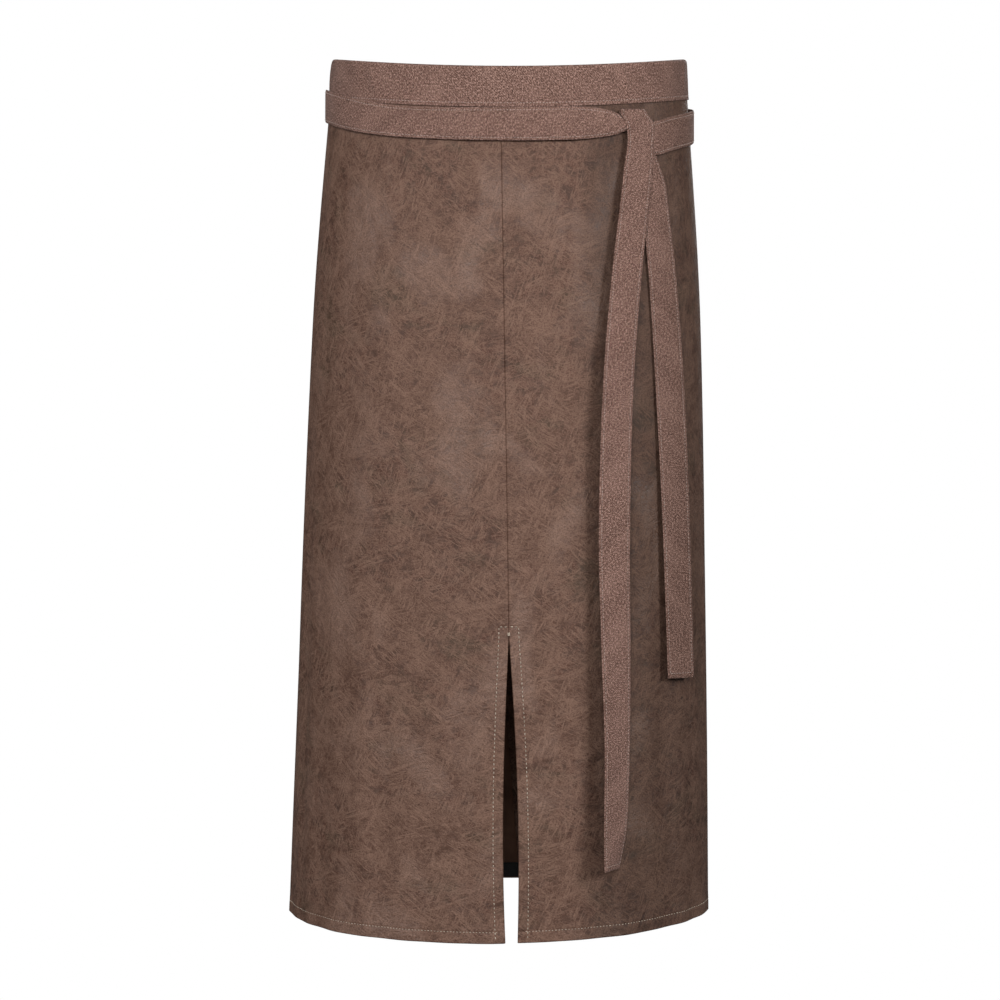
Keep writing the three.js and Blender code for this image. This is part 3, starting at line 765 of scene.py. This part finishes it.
def panel_face(side, edge, inward, drop):
    """A row on a panel's outer face, measured inward from one of its edges."""
    which, way = {"start": (0, 1), "end": (1, -1)}[edge]
    line = EDGES[side][which](drop)
    angle = line + way * inward / reach(line, drop)
    level = PANEL_FACE + cloth_lift(angle, drop) + cloth_relief(side, edge, inward, drop)
    return row_at(angle, drop, level)


def row_down(side, edge, inward, start, end):
    drop = steps(start, end, 0.004)
    return panel_face(side, edge, np.full(len(drop), inward), drop)


def hem_row(side):
    drop = LENGTH - HEM_ROW
    first, last = (float(line(np.array(drop))) for line in EDGES[side])
    middle = (first + last) / 2
    inset = 0.004 / reach(middle, drop)
    angle = np.linspace(first + inset, last - inset, 160)
    return row_at(angle, drop, PANEL_FACE + cloth_lift(angle, drop) - 0.00018)


def make_panel_stitching():
    made = []
    below_band = WAISTBAND_HEIGHT + 0.002
    for side, back_edge in (("left", "start"), ("right", "end")):
        made.append(make_stitches(f"hem_stitching_{side}", [hem_row(side)], PALE_THREAD))
        row = row_down(side, back_edge, TURNING_ROW, below_band, LENGTH)
        made.append(make_stitches(f"back_edge_stitching_{side}", [row], PALE_THREAD))
    slit_edges = (("left", "end"), ("right", "start"))
    rows = [row_down(*edge, SLIT_ROW, SLIT_BOX_TOP, LENGTH - 0.003) for edge in slit_edges]
    inward = np.linspace(0.0006, SLIT_ROW, 8)
    rows += [panel_face(*edge, inward, np.full(len(inward), SLIT_BOX_TOP)) for edge in slit_edges]
    made.append(make_stitches("slit_stitching", rows, PALE_THREAD, SLIT_STITCH, SLIT_THREAD))
    return made


def make_bartack():
    """A dense little bar of thread across the head of the slit."""
    rows = []
    bars, apart, half_width = 5, 0.00055, 0.0024
    for k in range(bars):
        drop = SLIT_TOP - 0.0014 + k * apart
        x = seam_x(drop) + np.linspace(-half_width, half_width, 6)
        angle = front_angle(x, drop)
        rows.append(row_at(angle, drop, PANEL_FACE + drape(angle, drop) + 0.0001))
    return make_stitches("slit_bartack", rows, PALE_THREAD, pitch=2 * half_width)


def make_centre_seam():
    """The joining stitches of the centre seam, just inside the crease between the two panels."""
    drop = steps(WAISTBAND_HEIGHT + 0.002, SLIT_TOP - 0.004, 0.004)
    angle = front_angle(seam_x(drop), drop)
    row = row_at(angle, drop, drape(angle, drop) - PANEL_FACE - 0.0014)
    return make_stitches("centre_seam_stitching", [row], BROWN_THREAD)


def band_face(angle, drop):
    return row_at(angle, drop, BAND_FACE + band_creases(angle, drop) - THREAD_SUNK)


def make_band_stitching():
    short_of_end = BACK_ANGLE - 0.02
    angle = np.linspace(-short_of_end, short_of_end, 420)
    row = band_face(angle, np.full(len(angle), WAISTBAND_HEIGHT - WAISTBAND_ROW))
    made = [make_stitches("waistband_stitching", [row], BROWN_THREAD)]
    for side, sign in (("left", -1), ("right", 1)):
        drop = np.linspace(0.004, WAISTBAND_HEIGHT - 0.002, 14)
        row = band_face(np.full(len(drop), sign * (BACK_ANGLE - 0.022)), drop)
        made.append(make_stitches(f"waistband_end_stitching_{side}", [row], BROWN_THREAD))
    return made


def make_sewn_end(side, wrap):
    """A stitched box that holds a tie's start to the waistband."""
    start = wrap[0][0]
    way = 1 if side == "left" else -1
    from_end, to_end = 0.0035, 0.022
    near, far = np.array([from_end, to_end]) / reach(start, WAISTBAND_HEIGHT / 2)
    drops = WAISTBAND_HEIGHT / 2 + np.array([-1, 1]) * (TIE_WIDTH / 2 - 2.4 * TIE_ROW)
    face = TIE_LEVEL + STRAP / 2 - 0.00015
    corners = [(near, drops[0]), (far, drops[0]), (far, drops[1]), (near, drops[1])]
    sides = [*zip(corners, corners[1:]), (corners[3], corners[0])]
    crosses = [(corners[0], corners[2]), (corners[1], corners[3])]
    rows = []
    for (a0, d0), (a1, d1) in sides + crosses:
        angle = start + way * np.linspace(a0, a1, 8)
        drop = np.linspace(d0, d1, 8)
        rows.append(row_at(angle, drop, face))
    return make_stitches(f"{side}_tie_end_stitching", rows, BROWN_THREAD)


def make_interlining():
    drops = steps(0.0022, WAISTBAND_HEIGHT - 0.0012, 0.0018)
    angle = np.linspace(-BACK_ANGLE + 0.01, BACK_ANGLE - 0.01, 300)
    drop, angle = np.meshgrid(drops, angle, indexing="ij")
    level = BAND_OUT - CANVAS / 2 - STIFFENING_GAP + band_creases(angle, drop)
    outer = on_apron(angle, drop, level)
    inner = on_apron(angle, drop, level - STIFFENING)
    uv = np.stack([angle * BAND_REACH, drop], axis=-1)
    return shell("waistband_interlining", outer, inner, uv, [INTERLINING])


# ---------------------------------------------------------------- materials

def put(tree, socket, value):
    """Links a socket to another one, or sets its value."""
    if isinstance(value, bpy.types.NodeSocket):
        tree.links.new(value, socket)
    else:
        socket.default_value = value


def add_node(tree, kind, inputs, **settings):
    node = tree.nodes.new(kind)
    for key, value in settings.items():
        setattr(node, key, value)
    for key, value in inputs.items():
        put(tree, node.inputs[key], value)
    return node


class Nodes:
    """A short way to write one material's node graph."""

    def __init__(self, name):
        self.material = bpy.data.materials.new(name)
        self.material.use_nodes = True
        self.tree = self.material.node_tree
        self.flat = self.add("ShaderNodeUVMap", {}, uv_map="flat").outputs["UV"]
        self.place = self.add("ShaderNodeTexCoord", {}).outputs["Object"]

    def add(self, kind, inputs, **settings):
        return add_node(self.tree, kind, inputs, **settings)

    def maths(self, operation, a, b=0.0):
        return self.add("ShaderNodeMath", {0: a, 1: b}, operation=operation).outputs[0]

    def plus(self, a, b):
        return self.maths("ADD", a, b)

    def times(self, a, b):
        return self.maths("MULTIPLY", a, b)

    def multiply_add(self, vector, by, more):
        return self.add(
            "ShaderNodeVectorMath", {0: vector, 1: by, 2: more}, operation="MULTIPLY_ADD").outputs[0]

    def split(self, vector):
        return self.add("ShaderNodeSeparateXYZ", {0: vector}).outputs

    def noise(self, vector, scale, detail, roughness=0.55, distortion=0.0, output="Fac"):
        return self.add("ShaderNodeTexNoise", {
            "Vector": vector, "Scale": scale, "Detail": detail,
            "Roughness": roughness, "Distortion": distortion}).outputs[output]

    def turned(self, vector, scale, turn, shift):
        """A vector turned first and stretched after, so streaks run at that turn."""
        rotate = self.add("ShaderNodeMapping", {"Vector": vector, "Rotation": (0, 0, turn)})
        return self.multiply_add(rotate.outputs[0], scale, shift)

    def clouds(self, across, turn, shift, detail, roughness, distortion=0.0):
        """Noise over the flat cloth with so many patches to a metre, each way."""
        where = self.turned(self.flat, (*across, 1.0), turn, (*shift, 0.0))
        return self.noise(where, 1.0, detail, roughness, distortion)

    def between(self, value, low, high, out_low=0.0, out_high=1.0):
        inputs = dict(enumerate((value, low, high, out_low, out_high)))
        return self.add("ShaderNodeMapRange", inputs, interpolation_type="SMOOTHSTEP").outputs[0]

    def line(self, value, middle, width):
        """1 where a value is near a middle, falling to 0: it draws thin lines out of smooth noise."""
        away = self.maths("ABSOLUTE", self.maths("SUBTRACT", value, middle))
        return self.between(away, 0.0, width, 1.0, 0.0)

    def blend(self, amount, first, second, how="MIX"):
        node = self.add("ShaderNodeMix", {"Factor": amount}, data_type="RGBA", blend_type=how)
        for socket, value in zip([s for s in node.inputs if s.type == "RGBA"], (first, second)):
            put(self.tree, socket, value if isinstance(value, bpy.types.NodeSocket) else (*value, 1.0))
        return [s for s in node.outputs if s.type == "RGBA"][0]

    def bump(self, height, distance, under=None):
        """A normal for relief of a depth in metres, laid over another normal where one is given."""
        inputs = {"Height": height, "Distance": distance}
        if under is not None:
            inputs["Normal"] = under
        return self.add("ShaderNodeBump", inputs).outputs[0]

    def finish(self, colour, roughness, normal, **fixed):
        shader = self.tree.nodes["Principled BSDF"]
        for key, value in {"Base_Color": colour, "Roughness": roughness, "Normal": normal, **fixed}.items():
            put(self.tree, shader.inputs[key.replace("_", " ")], value)
        return self.material


LEATHER_DARK = (0.056, 0.022, 0.012)
LEATHER_RED = (0.088, 0.031, 0.017)
LEATHER_OLIVE = (0.066, 0.042, 0.021)
LEATHER_MID = (0.100, 0.043, 0.025)
# Painted sheen: a lighter grey that stands in for sheen on the leather.
LEATHER_PAINTED_SHEEN = (0.188, 0.107, 0.078)
LEATHER_WORN = (0.300, 0.178, 0.128)
# Painted shade: the cloth's colour is darkened towards the sides of the apron, beside and between the ties
# and at the canvas's right end, where shade falls; this tone is multiplied in there.
PAINTED_SIDE_SHADE = (0.36, 0.33, 0.29)
SCRATCHES = (  # turn, along, across, strength
    (0.35, 26.0, 200.0, 0.90),
    (-0.75, 30.0, 230.0, 0.95),
    (1.25, 24.0, 180.0, 0.95),
    (-1.90, 40.0, 280.0, 0.90),
    (0.05, 14.0, 260.0, 0.55),
    (2.60, 44.0, 300.0, 0.90),
)


def crackle(n):
    """A dense net of fine pale lines where the finish has cracked."""
    wander = n.noise(n.flat, 260.0, 4.0, 0.5, output="Color")
    bent = n.multiply_add(wander, (0.007, 0.007, 0.0), n.flat)
    net = None
    for scale, width in ((260.0, 0.17), (150.0, 0.08)):
        cells = n.add(
            "ShaderNodeTexVoronoi", {"Vector": bent, "Scale": scale}, feature="DISTANCE_TO_EDGE")
        lines = n.between(cells.outputs["Distance"], 0.0, width, 1.0, 0.0)
        net = lines if net is None else n.maths("MAXIMUM", net, lines)
    return net


def scratches(n):
    """Fine scuffs that run in every direction, some of them long."""
    found = None
    for k, (turn, along, across, strength) in enumerate(SCRATCHES):
        grain = n.clouds((along, across), turn, (5.0 * k, 3.0 * k), 2.0, 0.5, 0.4)
        patches = n.turned(n.flat, (30.0, 42.0, 1.0), turn, (0.0, 3.0 * k, 5.0 * k))
        mask = n.between(n.noise(patches, 1.0, 3.0, 0.6), 0.46, 0.58, 0.05, strength)
        scratch = n.times(n.line(grain, 0.5, 0.085), mask)
        found = scratch if found is None else n.maths("MAXIMUM", found, scratch)
    return found


def distressed_leather():
    """Red-brown and olive clouds under a worn top coat, with cracks, scuffs, a few soft patches of painted
    sheen, and painted shade towards the sides.
    """
    n = Nodes("distressed_leather")
    cloud = n.clouds((13.0, 19.0), 0.0, (0.0, 0.0), 5.0, 0.52, 0.9)
    spots = n.clouds((105.0, 120.0), 0.3, (0.0, 0.0), 4.0, 0.62, 0.6)
    olive = n.clouds((14.0, 24.0), -0.5, (3.0, 7.0), 4.0, 0.55, 0.6)
    gloss_and_painted_sheen = n.clouds((15.0, 10.0), 0.2, (11.0, 2.0), 3.0, 0.50, 0.4)
    fine = n.noise(n.flat, 750.0, 4.0, 0.7)
    ground = n.blend(n.between(spots, 0.36, 0.60), LEATHER_DARK, LEATHER_RED)
    ground = n.blend(n.between(olive, 0.50, 0.64, 0.0, 0.60), ground, LEATHER_OLIVE)
    cover = n.plus(n.plus(n.times(cloud, 0.80), n.times(spots, 0.20)), n.times(fine, 0.08))
    cover = n.between(cover, 0.46, 0.62, 0.02, 0.95)
    colour = n.blend(cover, ground, LEATHER_MID)
    # Painted sheen: soft lighter grey patches, which are also given lower roughness below.
    colour = n.blend(n.between(gloss_and_painted_sheen, 0.50, 0.68, 0.0, 0.70), colour, LEATHER_PAINTED_SHEEN)
    lines = n.times(crackle(n), n.between(spots, 0.36, 0.58, 0.15, 0.75))
    worn = n.maths("MAXIMUM", lines, scratches(n))
    colour = n.blend(n.times(worn, 0.72), colour, LEATHER_WORN)
    colour = n.blend(n.between(fine, 0.38, 0.54, 0.60, 0.0), colour, LEATHER_DARK)
    # Painted shade: darker from x 0.052 rightwards, beside and between the ties and at the right side, and
    # towards the far left side.
    x = n.split(n.place)[0]
    painted_shade_right = n.between(x, 0.052, 0.092, 0.0, 0.64)
    painted_shade_left = n.between(x, -0.200, -0.130, 0.14, 0.0)
    colour = n.blend(n.maths("MAXIMUM", painted_shade_right, painted_shade_left), colour, PAINTED_SIDE_SHADE, "MULTIPLY")
    roughness = n.plus(n.between(gloss_and_painted_sheen, 0.50, 0.68, 0.58, 0.38), n.times(worn, 0.22))
    normal = n.bump(n.noise(n.flat, 70.0, 3.0, 0.6), 0.0018)
    normal = n.bump(fine, 0.00030, normal)
    normal = n.bump(worn, 0.00022, normal)
    return n.finish(colour, roughness, normal, Specular_IOR_Level=0.40)


def leather_backing():
    n = Nodes("leather_backing")
    nap = n.noise(n.flat, 1400.0, 4.0, 0.7)
    blotch = n.noise(n.flat, 30.0, 3.0, 0.6)
    colour = n.blend(n.between(blotch, 0.35, 0.65), (0.120, 0.050, 0.026), (0.185, 0.088, 0.050))
    colour = n.blend(n.between(nap, 0.35, 0.75, 0.0, 0.5), colour, (0.180, 0.105, 0.070))
    return n.finish(colour, 0.86, n.bump(nap, 0.0003), Sheen_Weight=0.25, Sheen_Roughness=0.5)


def weave(n, pitch, slant, unevenness=0.0):
    """Height of a twill: fine ribs at a slant, crossed by the yarns' own rounding."""
    along, across, _ = n.split(n.flat)
    turns = 2 * math.pi / pitch
    slanted = n.plus(n.times(along, turns), n.times(across, turns * slant))
    ribs = n.maths("SINE", n.plus(slanted, unevenness))
    yarns = n.maths("SINE", n.times(across, turns * 1.7))
    return n.plus(n.times(ribs, 0.35), n.times(yarns, 0.15))


CANVAS_MID = (0.184, 0.097, 0.073)
CANVAS_DARK = (0.062, 0.029, 0.021)
CANVAS_LIGHT = (0.440, 0.271, 0.221)


def canvas():
    """A washed twill: flecks of light and dark yarn, slanting ribs, faint slanting streaks of painted
    crease light and shade, and painted shade towards the right.
    """
    n = Nodes("brown_canvas")
    warp = n.clouds((560.0, 1040.0), 0.0, (0.0, 0.0), 1.0, 0.6)
    weft = n.clouds((980.0, 580.0), 0.0, (4.0, 9.0), 1.0, 0.6)
    painted_crease_streaks = n.clouds((24.0, 60.0), 0.9, (0.0, 0.0), 3.0, 0.5, 0.4)
    twill = weave(n, 0.0021, 0.9, n.times(n.noise(n.flat, 240.0, 2.0), 5.0))
    colour = n.blend(n.between(warp, 0.40, 0.56), CANVAS_DARK, CANVAS_MID)
    colour = n.blend(n.between(weft, 0.50, 0.60, 0.0, 0.95), colour, CANVAS_LIGHT)
    colour = n.blend(n.between(twill, 0.05, 0.45, 0.0, 0.34), colour, CANVAS_LIGHT)
    colour = n.blend(n.between(twill, -0.45, -0.05, 0.40, 0.0), colour, CANVAS_DARK)
    # Painted crease light and shade: faint slanting streaks, lighter and darker.
    colour = n.blend(n.between(painted_crease_streaks, 0.50, 0.66, 0.0, 0.12), colour, CANVAS_LIGHT)
    colour = n.blend(n.between(painted_crease_streaks, 0.34, 0.47, 0.15, 0.0), colour, CANVAS_DARK)
    # Painted shade: the canvas darkens towards the right, on the waistband's right end and the ties there.
    x = n.split(n.place)[0]
    colour = n.blend(n.between(x, 0.122, 0.168, 0.0, 0.42), colour, PAINTED_SIDE_SHADE, "MULTIPLY")
    height = n.plus(twill, n.plus(warp, weft))
    normal = n.bump(height, 0.00030, n.bump(n.noise(n.flat, 120.0, 2.0), 0.0006))
    return n.finish(colour, 0.85, normal, Specular_IOR_Level=0.2, Sheen_Weight=0.06, Sheen_Roughness=0.5)


def sewing_thread(name, dark, light):
    n = Nodes(name)
    along, around, _ = n.split(n.flat)
    twist = n.maths("SINE", n.plus(n.times(along, 9000.0), n.times(around, 2500.0)))
    tone = n.noise(n.place, 300.0, 2.0)
    colour = n.blend(n.between(tone, 0.35, 0.65), dark, light)
    return n.finish(colour, 0.55, n.bump(twist, 0.00008), Sheen_Weight=0.15)


def black_tape():
    n = Nodes("black_tape")
    height = weave(n, 0.0009, 0.5)
    fleck = n.noise(n.flat, 1200.0, 2.0)
    colour = n.blend(n.between(fleck, 0.4, 0.7), (0.010, 0.009, 0.009), (0.026, 0.023, 0.022))
    return n.finish(colour, 0.75, n.bump(height, 0.0002), Sheen_Weight=0.2)


def stiffening():
    n = Nodes("interlining")
    felt = n.noise(n.flat, 900.0, 4.0, 0.7)
    colour = n.blend(n.between(felt, 0.35, 0.7), (0.42, 0.38, 0.33), (0.60, 0.56, 0.50))
    return n.finish(colour, 0.9, n.bump(felt, 0.0002))


# ---------------------------------------------------------------- camera, stage and light

CAMERA_PLACE = (SEAM_X[0], -3.0, -0.417)
CAMERA_SENSOR = 36.0
CAMERA_LENS = 114.1
FLOOR_RADIUS = 6.0
FLOOR_BELOW_HEM = 0.12
WHITE = (1.0, 1.0, 1.0, 1.0)
SURROUND_COLOUR = (1.0, 0.99, 0.98, 1.0)
SURROUND_STRENGTH = 0.13
LAMPS = (  # name, place, size, power
    ("key", (2.50, -1.90, 0.60), 1.1, 50.0),
    ("front", (-0.30, -3.10, 0.80), 1.4, 52.0),
    ("fill", (-2.20, -1.90, 0.40), 1.2, 26.0),
    ("back", (0.60, 2.60, 1.00), 2.0, 70.0),
)


def empty_tree(owner):
    owner.use_nodes = True
    owner.node_tree.nodes.clear()
    return owner.node_tree


def white_light():
    look = bpy.data.materials.new("floor_white")
    tree = empty_tree(look)
    glow = add_node(tree, "ShaderNodeEmission", {"Color": WHITE, "Strength": 1.0})
    add_node(tree, "ShaderNodeOutputMaterial", {"Surface": glow.outputs[0]})
    return look


def set_camera():
    lens = bpy.data.cameras.new("camera")
    lens.sensor_width = CAMERA_SENSOR
    lens.lens = CAMERA_LENS
    camera = add_to_scene("camera", lens)
    camera.location = CAMERA_PLACE
    camera.rotation_euler = (math.pi / 2, 0.0, 0.0)
    bpy.context.scene.camera = camera


def set_floor():
    """A plain white floor below the hem, which is seen but lights nothing."""
    corners = 96
    angle = np.linspace(0, 2 * math.pi, corners, endpoint=False)
    level = np.full(corners, -LENGTH - FLOOR_BELOW_HEM)
    rim = np.stack([FLOOR_RADIUS * np.cos(angle), FLOOR_RADIUS * np.sin(angle), level], axis=1)
    mesh = bpy.data.meshes.new("floor")
    mesh.from_pydata([tuple(p) for p in rim], [], [tuple(range(corners))])
    mesh.materials.append(white_light())
    floor = add_to_scene("floor", mesh)
    floor.visible_diffuse = False
    floor.visible_glossy = False
    floor.visible_shadow = False


def set_surround():
    """White to the eye, and a weak light from all round to the apron."""
    world = bpy.data.worlds.new("surround")
    bpy.context.scene.world = world
    tree = empty_tree(world)
    seen_directly = add_node(tree, "ShaderNodeLightPath", {}).outputs["Is Camera Ray"]
    lit, seen = (
        add_node(tree, "ShaderNodeBackground", {"Color": colour, "Strength": strength}).outputs[0]
        for colour, strength in ((SURROUND_COLOUR, SURROUND_STRENGTH), (WHITE, 1.0)))
    mix = add_node(tree, "ShaderNodeMixShader", {0: seen_directly, 1: lit, 2: seen})
    add_node(tree, "ShaderNodeOutputWorld", {"Surface": mix.outputs[0]})
    bpy.context.scene.view_settings.view_transform = "Standard"


def set_lamps():
    aim = Vector((0.0, 0.0, -LENGTH / 2))
    for name, place, size, power in LAMPS:
        lamp = bpy.data.lights.new(name, "AREA")
        lamp.shape = "DISK"
        lamp.size = size
        lamp.energy = power
        made = add_to_scene(name, lamp)
        made.location = place
        made.rotation_euler = (aim - Vector(place)).to_track_quat("-Z", "Y").to_euler()


# ---------------------------------------------------------------- putting it together

LEATHER_FACE = distressed_leather()
LEATHER_BACK = leather_backing()
CANVAS_LOOK = canvas()
PALE_THREAD = sewing_thread("pale_thread", (0.400, 0.320, 0.245), (0.620, 0.520, 0.420))
BROWN_THREAD = sewing_thread("brown_thread", (0.330, 0.232, 0.195), (0.540, 0.420, 0.370))
TAPE = black_tape()
INTERLINING = stiffening()

# Each tie's nodes, and the drops between which its tail starts to swing.
TIES = (
    ("left", make_left_tie, ("left_tie_wrap", "left_tie_turn", "left_tie_tail"), 0.228, 0.256),
    ("right", make_right_tie, ("right_tie_wrap", "right_tie_loop", "right_tie_tail"), 0.094, 0.124),
)


def stand_in(piece, slot, *nodes):
    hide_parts(*nodes)


def on_apron_body(piece, slot, node):
    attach(piece, "apron")
    stand_in(piece, slot, node)


set_camera()
set_floor()
set_surround()
set_lamps()

for side in ("left", "right"):
    panel = make_panel(side)
    on_apron_body(panel, "leather_cloth", f"panel_{side}")
    tape = make_hem_tape(side)
    on_apron_body(tape, "black_tape", f"hem_tape_{side}")

band = make_waistband()
on_apron_body(band, "canvas", "waistband")
on_apron_body(make_interlining(), "interlining", "waistband_interlining")

threads = (
    *make_panel_stitching(),
    *make_band_stitching(),
    make_bartack(),
    make_centre_seam(),
    make_sewn_end("left", LEFT_WRAP),
    make_sewn_end("right", RIGHT_WRAP),
)
for piece in threads:
    on_apron_body(piece, "thread", piece.name.removesuffix("_detail"))

for side, make, nodes, bend_start, bend_end in TIES:
    tie, sweep = make()
    stitches = tie_stitches(f"{side}_tie_stitching", sweep)
    for piece in (tie, stitches):
        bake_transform(piece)
    rows = ("tie_upper", "tie_lower", "tail_inner", "tail_outer")
    stand_in(tie, "canvas", *nodes)
    stand_in(stitches, "thread", *(f"{side}_{row}_stitching" for row in rows))
